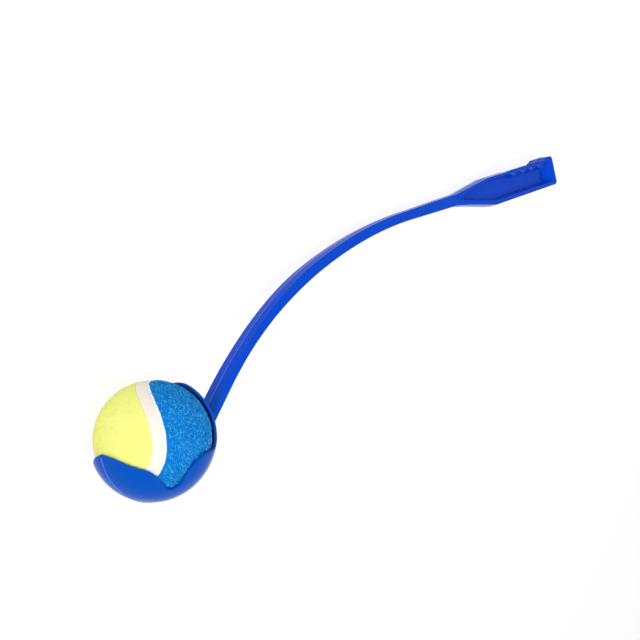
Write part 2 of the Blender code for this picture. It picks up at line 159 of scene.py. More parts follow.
bump = add_node(tree, "Bump", {
    "Height": peel.outputs["Fac"], "Strength": PEEL_STRENGTH, "Distance": PEEL_HEIGHT,
})
tree.links.new(bump.outputs["Normal"], shader.inputs["Normal"])

# %% [markdown]
# Where the mould's halves meet, a hair of plastic is squeezed out, called flash. Its line carries a
# painted highlight: the same plastic in a paler blue, in patches along the line, for the light that the
# thin ridge catches.

# %% Flash at the parting line, with a painted highlight
HIGHLIGHT_PATCH = 6 * MM

flash, tree, shader, place = start_material("flash_with_painted_highlight", IOR=1.49, Roughness=0.2)
shader.inputs["Specular IOR Level"].default_value = 0.3
# painted highlight: patches of paler blue along the parting line
thickness = add_node(tree, "TexNoise", {"Vector": place, "Scale": 1 / HIGHLIGHT_PATCH, "Detail": 2})
painted_highlight_mix = add_node(tree, "Mix", {
    "Factor": thickness.outputs["Fac"], 6: linear("#1A5CE0"), 7: linear("#5E96F6"),
}, data_type="RGBA")
tree.links.new(painted_highlight_mix.outputs[2], shader.inputs["Base Color"])

# %% [markdown]
# ## Felt
#
# The ball's felt is a woven cloth of wool and nylon whose nap has been raised and fluffed. Under the
# loose fibres the cloth scatters light softly, which sheen imitates. It has no smooth face, so it
# mirrors next to nothing. Fibres that curl over each other make lighter and darker worms a millimetre or
# two apart, and a noise drawn through its middle value gives such curls. The white and yellow naps are
# short and even, and the blue one is rougher.

# %% Napped felts
CLOUD_WIDTH = 9 * MM
FLUFF_WIDTH = 0.5 * MM
CURL_TWIST = 1.6
CURL_EDGE = 0.05


def napped_felt(name, body, shade, fibre, curl_width, curl_strength, depth):
    """Felt cloth whose curls are a curl_width across and stand out by curl_strength."""
    material, tree, shader, place = start_material(name, Roughness=0.95, Sheen_Roughness=0.5)
    shader.inputs["Specular IOR Level"].default_value = 0.15
    shader.inputs["Sheen Weight"].default_value = 0.05
    shader.inputs["Sheen Tint"].default_value = linear(fibre)
    clouds = add_node(tree, "TexNoise", {"Vector": place, "Scale": 1 / CLOUD_WIDTH, "Detail": 3})
    cloth = add_node(tree, "Mix", {
        "Factor": clouds.outputs["Fac"], 6: linear(shade), 7: linear(body),
    }, data_type="RGBA")
    curls = add_node(tree, "TexNoise", {
        "Vector": place, "Scale": 1 / curl_width, "Detail": 2, "Distortion": CURL_TWIST,
    })
    off_middle = add_node(tree, "Math", {0: curls.outputs["Fac"], 1: 0.5}, operation="SUBTRACT")
    ridge = add_node(tree, "Math", {0: off_middle.outputs[0]}, operation="ABSOLUTE")
    worm = add_node(tree, "MapRange", {
        "Value": ridge.outputs[0], "From Min": 0, "From Max": CURL_EDGE,
        "To Min": curl_strength, "To Max": 0,
    })
    nap = add_node(tree, "Mix", {
        "Factor": worm.outputs["Result"], 6: cloth.outputs[2], 7: linear(fibre),
    }, data_type="RGBA")
    tree.links.new(nap.outputs[2], shader.inputs["Base Color"])
    fluff = add_node(tree, "TexNoise", {"Vector": place, "Scale": 1 / FLUFF_WIDTH, "Detail": 3})
    height = add_node(tree, "Math", {
        0: worm.outputs["Result"], 1: fluff.outputs["Fac"],
    }, operation="ADD")
    bump = add_node(tree, "Bump", {"Height": height.outputs[0], "Strength": 0.6, "Distance": depth})
    tree.links.new(bump.outputs["Normal"], shader.inputs["Normal"])
    return material


CURL_WIDTH = 1.6 * MM
BLUE_CURL_WIDTH = 1.5 * MM
NAP_DEPTH = 0.08 * MM
BLUE_NAP_DEPTH = 0.2 * MM
FIBRE_DEPTH = 0.05 * MM

yellow_cloth = napped_felt(
    "napped_yellow_felt", "#F6F78C", "#EEF27A", "#FDFDBA", CURL_WIDTH, 0.25, NAP_DEPTH,
)
white_cloth = napped_felt(
    "napped_white_felt", "#FBF2E6", "#F1E6DA", "#FFFCF6", CURL_WIDTH, 0.3, NAP_DEPTH,
)
blue_cloth = napped_felt(
    "napped_blue_felt", "#0082DA", "#0070C4", "#10A0F6", BLUE_CURL_WIDTH, 0.6, BLUE_NAP_DEPTH,
)
yellow_fibre = napped_felt(
    "loose_yellow_fibres", "#FAFB98", "#F2F680", "#FFFFC0", CURL_WIDTH, 0.3, FIBRE_DEPTH,
)
blue_fibre = napped_felt(
    "loose_blue_fibres", "#008AE2", "#0080D8", "#58C4FF", BLUE_CURL_WIDTH, 0, FIBRE_DEPTH,
)
print("felts:", yellow_cloth.name, white_cloth.name, blue_cloth.name)

# %% [markdown]
# The blue nap sparkles. Each of its loose fibres takes the dye in its own way, and the glint it catches
# is painted in, so every fibre draws its own blue, between the cloth's colour and a bright one.

# %% A blue of its own for each fibre, partly dye and partly a painted glint
tree = blue_fibre.node_tree
per_fibre = add_node(tree, "NewGeometry").outputs["Random Per Island"]
paleness = add_node(tree, "MapRange", {
    "Value": per_fibre, "From Min": 0.35, "From Max": 0.95, "To Min": 0, "To Max": 1,
})
fibre_dye_and_glint = add_node(tree, "Mix", {
    "Factor": paleness.outputs["Result"], 6: linear("#0084DC"), 7: linear("#54CCFF"),
}, data_type="RGBA")
tree.links.new(fibre_dye_and_glint.outputs[2], tree.nodes["Principled BSDF"].inputs["Base Color"])

# %% [markdown]
# ## Cement and rubber
#
# The panels are stuck on with a white latex cement, which dries to a slightly lumpy satin bead in the
# joins. The core under them is vulcanised rubber, black and matt with a fine moulded grain. No light
# reaches it, but its halves are real pieces, and they keep a finish of their own.

# %% Latex cement and core rubber
LUMP_WIDTH = 1.2 * MM
LUMP_HEIGHT = 0.1 * MM
GRAIN_WIDTH = 0.4 * MM
GRAIN_HEIGHT = 0.05 * MM

cement, tree, shader, place = start_material("white_latex_cement", IOR=1.52, Roughness=0.5)
lumps = add_node(tree, "TexNoise", {"Vector": place, "Scale": 1 / LUMP_WIDTH, "Detail": 2})
latex = add_node(tree, "Mix", {
    "Factor": lumps.outputs["Fac"], 6: linear("#EAF4FF"), 7: linear("#FFFFFF"),
}, data_type="RGBA")
tree.links.new(latex.outputs[2], shader.inputs["Base Color"])
bump = add_node(tree, "Bump", {
    "Height": lumps.outputs["Fac"], "Strength": 0.5, "Distance": LUMP_HEIGHT,
})
tree.links.new(bump.outputs["Normal"], shader.inputs["Normal"])

rubber, tree, shader, place = start_material("vulcanised_black_rubber", IOR=1.52, Roughness=0.8)
grain = add_node(tree, "TexNoise", {"Vector": place, "Scale": 1 / GRAIN_WIDTH, "Detail": 3})
soot = add_node(tree, "Mix", {
    "Factor": grain.outputs["Fac"], 6: linear("#1E1E22"), 7: linear("#303036"),
}, data_type="RGBA")
tree.links.new(soot.outputs[2], shader.inputs["Base Color"])
bump = add_node(tree, "Bump", {
    "Height": grain.outputs["Fac"], "Strength": 0.3, "Distance": GRAIN_HEIGHT,
})
tree.links.new(bump.outputs["Normal"], shader.inputs["Normal"])
for name in ("core_half_outer", "core_half_inner"):
    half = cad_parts[name]
    half.data.materials.clear()
    half.data.materials.append(rubber)
print("materials:", len(bpy.data.materials))

# %% [markdown]
# ## Making meshes
#
# Nearly every piece here is a skin over rows of points: rings round the cup, sections along the arm,
# strips along the ball's seam. Writing the rows as plain lists is quicker than adding faces one by one.
# Blender then welds points that coincide, and turns all faces outward.

# %% Helpers for meshes
WELD_DISTANCE = 0.001 * MM
PLASTIC_SHARP_FROM = radians(40)
CLOTH_SHARP_FROM = radians(60)


def skin(rows, closed=False, capped=False):
    """Points and faces between equally long rings; capped closes both ends with a face."""
    count, size = len(rows), len(rows[0])
    faces = []
    for i in range(count if closed else count - 1):
        here, there = i * size, (i + 1) % count * size
        for j in range(size):
            k = (j + 1) % size
            faces.append((here + j, here + k, there + k, there + j))
    if capped:
        faces += [tuple(range(size)), tuple(range((count - 1) * size, count * size))]
    return [point for row in rows for point in row], faces


def make_piece(name, points, faces, material, sharp_from=PLASTIC_SHARP_FROM):
    """A mesh object drawn in the thrower's axes and laid down, shaded smooth except at sharp edges."""
    data = bpy.data.meshes.new(name)
    data.from_pydata([LYING @ Vector(point) for point in points], [], faces)
    mesh = bmesh.new()
    mesh.from_mesh(data)
    bmesh.ops.remove_doubles(mesh, verts=mesh.verts, dist=WELD_DISTANCE)
    bmesh.ops.recalc_face_normals(mesh, faces=mesh.faces)
    if mesh.calc_volume(signed=True) < 0:
        bmesh.ops.reverse_faces(mesh, faces=mesh.faces)
    mesh.to_mesh(data)
    mesh.free()
    data.shade_smooth()
    data.set_sharp_from_angle(angle=sharp_from)
    data.materials.append(material)
    piece = bpy.data.objects.new(name, data)
    bpy.context.scene.collection.objects.link(piece)
    return piece


def between(start, end, share):
    """The unit direction a share of the way along the great circle from start to end."""
    angle = start.angle(end, 0)
    if angle == 0:
        return start.copy()
    return (start * sin((1 - share) * angle) + end * sin(share * angle)) / sin(angle)


def ease(share):
    """Runs from 0 to 1 with no kink at either end."""
    share = min(max(share, 0), 1)
    return share * share * (3 - 2 * share)


# %% [markdown]
# ## The cup
#
# The cup is a thin shell round the ball. Its rim rises to a lobe in front and a lobe behind, with a low
# bump at each side, so that it lets the ball snap in and fly out. The rim is a table of angles, read
# through a smooth curve, and the shell is rings that climb from the lowest point to the rim, turn over
# the round lip and go back down the inside.

# %% The cup's sizes
BALL_RADIUS = 32.5 * MM
CLEARANCE = 0.4 * MM
CUP_INNER = BALL_RADIUS + CLEARANCE
CUP_WALL = 1.6 * MM
CUP_OUTER = CUP_INNER + CUP_WALL
CUP_MIDDLE = CUP_INNER + CUP_WALL / 2
RIM_FLARE = 0.5 * MM
BACK_FLARE = 1.0 * MM
RIM_STEPS = 384
SAMPLES_PER_STEP = 24
CUP_RINGS = 34
LIP_STEPS = 10
OPENING_HEADING = radians(104.4)
OPENING = Vector((cos(OPENING_HEADING), sin(OPENING_HEADING), 0))
BEHIND = Vector((sin(OPENING_HEADING), -cos(OPENING_HEADING), 0))
SIDE = Vector((0, 0, 1))
# azimuth and angle from the opening's axis in degrees: -90 is the front lobe's tip, 90 the back one's
RIM_ANGLES = (
    (-90, 59.5), (-77, 63), (-67, 69), (-59, 76), (-52, 82.5), (-47, 89), (-44.7, 97), (-44.5, 105),
    (-45.2, 112), (-44.4, 118), (-40, 121.4), (-33, 119.8), (-24.5, 115.6), (-14.5, 111.8),
    (-4.5, 110.4), (4, 112), (12, 116.2), (20, 120.5), (29, 123), (38, 121.8), (45, 115), (50.5, 106),
    (56, 95), (61, 85), (67, 76.5), (76, 71), (90, 69.5),
)

# %% The rim's directions


def smooth_through(points, place):
    """A smooth curve through points, read at a place that counts from 0 at the first point."""
    i = min(int(place), len(points) - 2)
    t = place - i
    around = (points[max(i - 1, 0)], points[i], points[i + 1], points[min(i + 2, len(points) - 1)])
    curve = []
    for before, start, end, after in zip(*around):
        bend = 2 * before - 5 * start + 4 * end - after + t * (3 * (start - end) + after - before)
        curve.append(start + t * (end - before + t * bend) / 2)
    return curve


def rim_directions():
    """Unit directions of the rim, evenly spaced all round."""
    samples = RIM_STEPS * SAMPLES_PER_STEP
    fine, lengths = [], [0]
    for i in range(samples + 1):
        place = (len(RIM_ANGLES) - 1) * i / samples
        azimuth, polar = (radians(value) for value in smooth_through(RIM_ANGLES, place))
        across = SIDE * cos(azimuth) + BEHIND * sin(azimuth)
        fine.append(OPENING * cos(polar) + across * sin(polar))
        if i:
            lengths.append(lengths[-1] + (fine[-1] - fine[-2]).length)
    half = RIM_STEPS // 2
    picks = np.searchsorted(lengths, [lengths[-1] * i / half for i in range(half + 1)])
    near = [fine[min(k, samples)] for k in picks]
    return near + [Vector((spot.x, spot.y, -spot.z)) for spot in near[-2:0:-1]]


def flared(edge, share, radius):
    """A point a share of the way up to the edge, which stands off the ball at the sides and the back."""
    lean = edge.dot(BEHIND)
    flare = RIM_FLARE * (1 + min(lean, 0)) + BACK_FLARE * max(lean, 0) ** 2
    return between(-OPENING, edge, share) * (radius + flare * share ** 3)


rim = rim_directions()
spokes = []
for i, spot in enumerate(rim):
    along = (rim[(i + 1) % RIM_STEPS] - rim[i - 1]).normalized()
    outward = spot.cross(along).normalized()
    edge = (spot * CUP_MIDDLE - outward * CUP_WALL / 2).normalized()
    spokes.append((edge, flared(edge, 1, CUP_MIDDLE), outward))
print("rim points:", len(spokes))

# %% The shell
cup_rows = [[-OPENING * CUP_OUTER] * RIM_STEPS]
for k in range(1, CUP_RINGS + 1):
    cup_rows.append([flared(edge, k / CUP_RINGS, CUP_OUTER) for edge, lip, outward in spokes])
for k in range(1, LIP_STEPS):
    angle = pi * k / LIP_STEPS
    cup_rows.append([
        lip + (edge * cos(angle) + outward * sin(angle)) * CUP_WALL / 2 for edge, lip, outward in spokes
    ])
for k in range(CUP_RINGS, 0, -1):
    cup_rows.append([flared(edge, k / CUP_RINGS, CUP_INNER) for edge, lip, outward in spokes])
cup_rows.append([-OPENING * CUP_INNER] * RIM_STEPS)
cup = make_piece("moulded_thrower", *skin(cup_rows), polypropylene)
print("cup faces:", len(cup.data.polygons))

# %% [markdown]
# ## The arm and the grip
#
# The arm leaves the cup straight, bends in two arcs and narrows from a wide thin strip to a narrow deep
# one. The grip goes on from it with a flare, four finger grooves and a hooked end. Each side of the grip
# is hollow down to a thin web, which saves plastic and cools evenly. All of it is one loft: a section
# has the same points everywhere, and the hollow's points simply lie flat on the side where there is
# none. Rounded corners, a small lip round each hollow and a fillet at its foot catch the light.

# %% The arm's and the grip's sizes
ARM_OFFSET = 25.3 * MM
ARM_HEADING = radians(29.2)
ROOT_LENGTH = 49.4 * MM
BENDS = ((274 * MM, radians(23.6)), (417 * MM, radians(14.6)))
NECK_LENGTH = 62.8 * MM
ARM_WIDTHS = (16.2 * MM, 10.0 * MM)
NARROWING_SHARE = 0.78
ARM_DEPTHS = (5.0 * MM, 7.6 * MM, 9.2 * MM)
DEEPENING_SHARES = (0.15, 0.42)
NECK_SHARES = (0.78, 1.00)
CORNER = 0.8 * MM
DRAFT = tan(radians(3.5))
GRIP_LENGTH = 148 * MM
TAPER_START = 5.5 * MM
SHOULDER = 47.5 * MM
BOTTOM_BEND = 18 * MM
BOTTOM_CORNER = 51.2 * MM
GRIP_TOP = 9.6 * MM
BEND_BOTTOM = 7.6 * MM
GRIP_BOTTOM = 14.2 * MM
SHOULDER_WIDTH = 14 * MM
END_WIDTH = 18 * MM
HOOK_RISE = 2.2 * MM
HOOK_LENGTH = 8 * MM
END_ROUND = 3.5 * MM
GROOVES = 4
GROOVE_DEPTH = 3.2 * MM
FIRST_GROOVE_SHARE = 0.573
GROOVE_PITCH_SHARE = 0.0926
FIRST_GROOVE = GRIP_LENGTH * FIRST_GROOVE_SHARE
GROOVE_PITCH = GRIP_LENGTH * GROOVE_PITCH_SHARE
GROOVES_END = FIRST_GROOVE + (GROOVES - 0.5) * GROOVE_PITCH
CREST_ROUND = 0.9 * MM
CREST_SAMPLES = 3
TOP_WALL = 2.4 * MM
BOTTOM_WALL = 3.9 * MM
END_WALL = 2.6 * MM
HOLLOW_START = 9.5 * MM
HOLLOW_START_RISE = 1.2 * MM
HOLLOW_START_FALL = 2.0 * MM
HOLLOW_END = GRIP_LENGTH - END_WALL
HOLLOW_END_SLOPE = 7 * MM
HOLLOW_START_SLOPE = 1.2 * MM
HOLLOW_ROUND = 2 * MM
WALL_LEAN = 1.4 * MM
WEB = 3.4 * MM
RUNS = ((ROOT_LENGTH, 0), *((radius * bend, radius) for radius, bend in BENDS))
NECK_AT = sum(length for length, _ in RUNS) + NECK_LENGTH

# %% The middle line


def path_place(distance):
    """Where the arm's middle line has got to, and its heading, a distance along it."""
    heading = ARM_HEADING
    spot = Vector((sin(heading), -cos(heading), 0)) * ARM_OFFSET
    for length, radius in (*RUNS, (NECK_LENGTH + GRIP_LENGTH, 0)):
        step = min(distance, length)
        if radius:
            turned = heading - step / radius
            spot += Vector((sin(heading) - sin(turned), cos(turned) - cos(heading), 0)) * radius
            heading = turned
        else:
            spot += Vector((cos(heading), sin(heading), 0)) * step
        distance -= step
        if distance <= 0:
            break
    return spot, heading


# %% The grip's outlines
NECK_HALF = ARM_DEPTHS[2] / 2


def corner_drop(distance, radius):
    """How far a rounded corner has fallen away, a distance from the end that it rounds."""
    reach = radius - min(max(distance, 0), radius)
    return radius - sqrt(radius ** 2 - reach ** 2)


def through(stations, along):
    """A height read from straight lines between stations, level beyond the last one."""
    for (start, low), (end, high) in zip(stations, stations[1:]):
        if along < end:
            return low + (high - low) * (along - start) / (end - start)
    return stations[-1][1]


def sharp_top(along):
    """The upper outline before its crests are rounded: a flare, the finger grooves and the hook."""
    top = through(((0, NECK_HALF), (TAPER_START, NECK_HALF), (SHOULDER, GRIP_TOP)), along)
    for i in range(GROOVES):
        off = (along - FIRST_GROOVE - i * GROOVE_PITCH) / (GROOVE_PITCH / 2)
        top -= GROOVE_DEPTH * max(1 - off ** 2, 0)
    return top + HOOK_RISE * ease((along - GROOVES_END) / HOOK_LENGTH)


def grip_top(along):
    """The upper outline; averaging it over a short way rounds the crests between the grooves."""
    samples = range(-CREST_SAMPLES, CREST_SAMPLES + 1)
    around = [sharp_top(along + CREST_ROUND * i / CREST_SAMPLES) for i in samples]
    return sum(around) / len(around) - corner_drop(GRIP_LENGTH - along, END_ROUND)


def grip_bottom(along):
    """How far the lower outline lies below the middle line."""
    corners = ((0, NECK_HALF), (BOTTOM_BEND, BEND_BOTTOM), (BOTTOM_CORNER, GRIP_BOTTOM))
    return through(corners, along) - corner_drop(GRIP_LENGTH - along, END_ROUND)


def grip_half_width(along):
    """Half the grip's thickness, which grows to the shoulder and then more slowly to the end."""
    if along < SHOULDER:
        return (ARM_WIDTHS[1] + (SHOULDER_WIDTH - ARM_WIDTHS[1]) * along / SHOULDER) / 2
    share = (along - SHOULDER) / (GRIP_LENGTH - SHOULDER)
    return (SHOULDER_WIDTH + (END_WIDTH - SHOULDER_WIDTH) * share) / 2


def arm_section(distance):
    """The arm's half depth and half width, a distance along its middle line."""
    root = sqrt(CUP_OUTER ** 2 - ARM_OFFSET ** 2)
    share = (distance - root) / (NECK_AT - root)
    width = ARM_WIDTHS[0] + (ARM_WIDTHS[1] - ARM_WIDTHS[0]) * min(max(share, 0) / NARROWING_SHARE, 1)
    rises = [ease((share - low) / (high - low)) for low, high in (DEEPENING_SHARES, NECK_SHARES)]
    depth = ARM_DEPTHS[0] + sum((ARM_DEPTHS[i + 1] - ARM_DEPTHS[i]) * rises[i] for i in (0, 1))
    return depth / 2, width / 2


# %% The hollow in each side


def hollow_rise(along):
    """The hollow's upper outline: straight up to the shoulder, then a wall's width inside the grip."""
    rise = grip_top(min(along, HOLLOW_END - HOLLOW_ROUND)) - TOP_WALL
    if along < SHOULDER:
        rise = through(((HOLLOW_START, HOLLOW_START_RISE), (SHOULDER, GRIP_TOP - TOP_WALL)), along)
    return rise - corner_drop(HOLLOW_END - along, HOLLOW_ROUND)


def hollow_fall(along):
    """The hollow's lower outline, measured downwards from the middle line."""
    fall = GRIP_BOTTOM - BOTTOM_WALL
    if along < BOTTOM_CORNER:
        fall = through(((HOLLOW_START, HOLLOW_START_FALL), (BOTTOM_CORNER, fall)), along)
    return fall - corner_drop(HOLLOW_END - along, HOLLOW_ROUND)


def hollow_depth(along):
    """How much of its full depth the hollow has, from 0 to 1."""
    start = ease((along - HOLLOW_START) / HOLLOW_START_SLOPE)
    return min(start, min(max((HOLLOW_END - along) / HOLLOW_END_SLOPE, 0), 1))


# %% One section
PARTING_RISE = 0.20 * MM
PARTING_HALF = 0.26 * MM
RIDGE_SHOULDER_SHARE = 0.6
CORNER_STEPS = 6
LIP = 0.35 * MM
FILLET = 0.7 * MM
# the middle of a quarter circle lies this share of its radius in from both tangents
ARC_SHARE = 0.3
RIM_CURVE = ((LIP, 0), (ARC_SHARE * LIP, ARC_SHARE * LIP), (0, LIP))
FOOT_CURVE = ((0, FILLET), (ARC_SHARE * FILLET, ARC_SHARE * FILLET), (FILLET, 0))
HOLLOW_POINTS = 2 * (len(RIM_CURVE) + len(FOOT_CURVE))


def corner_arc(high, half):
    """The rounded corner from the top face to the side, as pairs of height and distance out."""
    turns = [pi / 2 * (1 - k / CORNER_STEPS) for k in range(CORNER_STEPS + 1)]
    return [(high - CORNER * (1 - sin(turn)), half - CORNER * (1 - cos(turn))) for turn in turns]


def ridge_and_corner(high, half):
    """Half of one face: the parting ridge in its middle, the flat beside it and the rounded corner."""
    shoulder = high + PARTING_RISE * RIDGE_SHOULDER_SHARE
    ridge = [(high + PARTING_RISE, 0), (shoulder, PARTING_HALF / 2), (high, PARTING_HALF)]
    return ridge + corner_arc(high - (half - CORNER) * DRAFT, half)


def hollow_edge(level, depth, half):
    """Points from the side face down the hollow's wall to its floor, below a rim at that level."""
    full = half - WEB / 2
    points = [(level + up, half - depth * inward) for up, inward in RIM_CURVE]
    for down, short in FOOT_CURVE:
        points.append((level - WALL_LEAN * (full - short) / full - down, half - depth * (full - short)))
    return points


def section(top, bottom, half, rise=0, fall=0, depth=0, hollow_share=0):
    """One side of a section, from the ridge on top to the ridge below."""
    upper, lower = ridge_and_corner(top, half), ridge_and_corner(bottom, half)
    start, end = upper[-1][0], -lower[-1][0]
    cut = hollow_edge(rise, depth, half)
    cut += [(-high, out) for high, out in hollow_edge(fall, depth, half)[::-1]]
    side = []
    for k, (high, out) in enumerate(cut):
        flat_high = start + (end - start) * (k + 1) / (HOLLOW_POINTS + 1)
        side.append((flat_high + (high - flat_high) * hollow_share, half + (out - half) * hollow_share))
    return upper + side + [(-high, out) for high, out in lower[::-1]]


def ring(half_section, distances):
    """A whole ring from one side of a section, each point at its own distance along the path."""
    near, far = [], []
    for (high, out), distance in zip(half_section, distances):
        spot, heading = path_place(distance)
        across = Vector((-sin(heading), cos(heading), 0))
        near.append(spot + across * high + SIDE * out)
        far.append(spot + across * high - SIDE * out)
    return near + far[-2:0:-1]


# %% Sections of the arm, from inside the cup's wall
ROOT_CLEAR = 27 * MM
ROOT_ROWS = 4
ARM_STEP = 2.5 * MM

arm_rows = []
root_depth, root_half = arm_section(ROOT_CLEAR)
root = section(root_depth, root_depth, root_half)
for k in range(ROOT_ROWS):
    starts = []
    for high, out in root:
        inside = sqrt(CUP_MIDDLE ** 2 - (ARM_OFFSET - high) ** 2 - out ** 2)
        starts.append(inside + (ROOT_CLEAR - inside) * k / ROOT_ROWS)
    arm_rows.append(ring(root, starts))
steps = round((NECK_AT - ROOT_CLEAR) / ARM_STEP)
for i in range(steps):
    distance = ROOT_CLEAR + (NECK_AT - ROOT_CLEAR) * i / steps
    half_depth, half = arm_section(distance)
    shape = section(half_depth, half_depth, half)
    arm_rows.append(ring(shape, [distance] * len(shape)))
print("sections of the arm:", len(arm_rows))

# %% [markdown]
# The grip needs more sections where its shape changes quickly: down the hollow's first slope, through
# the finger grooves and round the end.

# %% Sections of the grip
NECK_STEP = 1.6 * MM
SLOPE_STEP = 0.15 * MM
WEB_STEP = 1.3 * MM
GROOVE_STEP = 0.5 * MM
LEAST_STEP = 0.02 * MM
HOLLOW_TURNS = [sin(pi / 2 * k / 10) for k in range(11)]
END_TURNS = [1 - sin(pi / 2 * k / 12) for k in range(12)]
CORNER_TURNS = [1 - sin(pi / 2 * k / 6) for k in range(7)]

hollow_slope_end = HOLLOW_START + HOLLOW_START_SLOPE
grooves_start = FIRST_GROOVE - GROOVE_PITCH
places = list(np.arange(0, HOLLOW_START, NECK_STEP))
places += list(np.arange(HOLLOW_START, hollow_slope_end, SLOPE_STEP))
places += list(np.arange(hollow_slope_end, grooves_start, WEB_STEP))
places += [TAPER_START, BOTTOM_BEND, SHOULDER, BOTTOM_CORNER]
places += list(np.arange(grooves_start, HOLLOW_END - HOLLOW_ROUND, GROOVE_STEP))
places += [HOLLOW_END - HOLLOW_ROUND * turn for turn in HOLLOW_TURNS]
places += [GRIP_LENGTH - END_ROUND * turn for turn in END_TURNS]
places += [GRIP_LENGTH - CORNER * turn for turn in CORNER_TURNS]
places.sort()
kept = [places[0]]
for along in places[1:]:
    if along - kept[-1] > LEAST_STEP:
        kept.append(along)
for along in kept:
    inset = corner_drop(GRIP_LENGTH - along, CORNER)
    shape = section(
        grip_top(along) - inset, grip_bottom(along) - inset, grip_half_width(along) - inset,
        hollow_rise(max(along, HOLLOW_START)), hollow_fall(max(along, HOLLOW_START)),
        hollow_depth(along), min(along / HOLLOW_START, 1),
    )
    arm_rows.append(ring(shape, [NECK_AT + along] * len(shape)))
arm = make_piece("arm_and_grip", *skin(arm_rows, capped=True), polypropylene)
print("sections in all:", len(arm_rows), "points in each:", len(arm_rows[0]))

# %% The flash's painted highlight on the ridge
STANDING = LYING.inverted()
arm.data.materials.append(flash)
for face in arm.data.polygons:
    if abs((STANDING @ face.center).z) < PARTING_HALF and len(face.vertices) == 4:
        face.material_index = 1
print("ridge faces:", sum(face.material_index for face in arm.data.polygons))

# %% [markdown]
# ## The parting line
#
# The two halves of a mould never close perfectly, so a thin bead of plastic stands where they meet. On
# the arm and the grip it is in the sections above. On the cup it is its own strip, from the front
# lobe's tip under the cup to the back lobe's. Small marks that ejector pins leave on the web are rings
# of the same kind.

# %% The bead on the cup
BEAD_RISE = 0.22 * MM
BEAD_ROOT = 0.066 * MM
BEAD_TOP_HALF, BEAD_FOOT_HALF, BEAD_ROOT_HALF = 0.14 * MM, 0.42 * MM, 0.46 * MM
# one side of the bead's section, from its root inside the wall to its top: height and distance out
BEAD_SIDE = ((-BEAD_ROOT, BEAD_ROOT_HALF), (0, BEAD_FOOT_HALF), (BEAD_RISE, BEAD_TOP_HALF))
BEAD = [(high, -out) for high, out in BEAD_SIDE] + [(high, out) for high, out in BEAD_SIDE[::-1]]
BEAD_STEPS = 60
BEAD_SHARES = (0.02, 0.985)

bead_rows = []
upwards = np.linspace(*BEAD_SHARES, BEAD_STEPS)
for edge, shares in ((spokes[0][0], upwards[::-1]), (spokes[RIM_STEPS // 2][0], upwards)):
    for share in shares:
        spot = flared(edge, share, CUP_OUTER)
        out = spot.normalized()
        bead_rows.append([spot + out * high + SIDE * aside for high, aside in BEAD])
# the bead carries the flash's painted highlight too
bead = make_piece("parting_bead", *skin(bead_rows, capped=True), flash)
print("bead faces:", len(bead.data.polygons))

# %% The marks of the ejector pins
MARK_RADIUS = 1.9 * MM
MARK_HALF_WIDTH = 0.16 * MM
MARK_RISE = 0.06 * MM
MARK_STEPS = 48
MARK_TUBE_STEPS = 8
# how far each mark lies along the grip and above its middle line
MARKS = ((33 * MM, 0.2 * MM), (66 * MM, -1.3 * MM), (112 * MM, -2.5 * MM))


def turns_of(steps):
    """The angles of evenly spaced steps round a circle."""
    return [2 * pi * i / steps for i in range(steps)]


mark_points, mark_faces = [], []
for along, high in MARKS:
    spot, heading = path_place(NECK_AT + along)
    ahead = Vector((cos(heading), sin(heading), 0))
    across = Vector((-sin(heading), cos(heading), 0))
    for side in (1, -1):
        centre = spot + across * high + SIDE * side * WEB / 2
        rows = []
        for turn in turns_of(MARK_STEPS):
            out = ahead * cos(turn) + across * sin(turn)
            rows.append([
                centre + out * (MARK_RADIUS + MARK_HALF_WIDTH * cos(roll)) + SIDE * MARK_RISE * sin(roll)
                for roll in turns_of(MARK_TUBE_STEPS)
            ])
        points, faces = skin(rows, closed=True)
        mark_faces += [tuple(index + len(mark_points) for index in face) for face in faces]
        mark_points += points
marks = make_piece("ejector_marks", mark_points, mark_faces, polypropylene)
print("pin marks:", 2 * len(MARKS))

# %% [markdown]
# Cup, arm, bead and marks are joined into one piece, as the real one is a single moulding. The arm's
# end and the bead reach into the cup's wall. A weighted normal modifier then lets the flat faces set
# the shading, so that they look flat up to their rounded corners.

# %% One moulding
parts = [cup, arm, bead, marks]
chosen_parts = {"selected_objects": parts, "selected_editable_objects": parts}
with bpy.context.temp_override(active_object=cup, object=cup, **chosen_parts):
    bpy.ops.object.join()
    flat_faces = cup.modifiers.new("flat_faces", "WEIGHTED_NORMAL")
    flat_faces.keep_sharp = True
    bpy.ops.object.modifier_apply(modifier="flat_faces")
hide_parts("thrower")
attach(cup, "thrower")
print("thrower faces:", len(cup.data.polygons))

# %% [markdown]
# ## The ball's felts
#
# A tennis ball's cover is two dumbbell-shaped panels whose edges follow one wavy closed curve. Here the
# join is wide and filled with a band of white felt. Each panel is spokes that run from its middle line
# out to that curve. The cloth is lifted by noise, so that the ball's outline isn't a perfect circle, and
# it rolls down into the join at its edges, which aren't cut quite straight.

# %% The seam curve
SEAM_WAVE = 0.22
MIDDLE_LINE_SHARE = 0.68
BALL_TURN = Euler((radians(148), radians(-40), radians(107))).to_matrix()
FELT_INNER = 28.8 * MM
BAND_HALF = 3.0 * MM
FELT_START = 4.2 * MM
SEAM_STEPS = 480
NUDGE = 0.0005
SLOW_STRAY, QUICK_STRAY = 9, 38
# how quickly each wave of the nap comes round the ball, and its share of the lift
NAP_WAVES = ((5.5, 0.6), (24, 0.5), (55, 0.3))


def seam_point(turn):
    """A point of the wavy closed curve, as a direction in the seam's own axes."""
    x = (1 - SEAM_WAVE) * cos(turn) + SEAM_WAVE * cos(3 * turn)
    y = (1 - SEAM_WAVE) * sin(turn) - SEAM_WAVE * sin(3 * turn)
    z = 2 * sqrt((1 - SEAM_WAVE) * SEAM_WAVE) * sin(2 * turn)
    return Vector((x, y, z)).normalized()


def beside_seam(turn, distance):
    """The direction of a point on the ball, a distance to one side of the seam curve."""
    here = seam_point(turn)
    along = (seam_point(turn + NUDGE) - seam_point(turn - NUDGE)).normalized()
    angle = distance / BALL_RADIUS
    return here * cos(angle) + here.cross(along) * sin(angle)


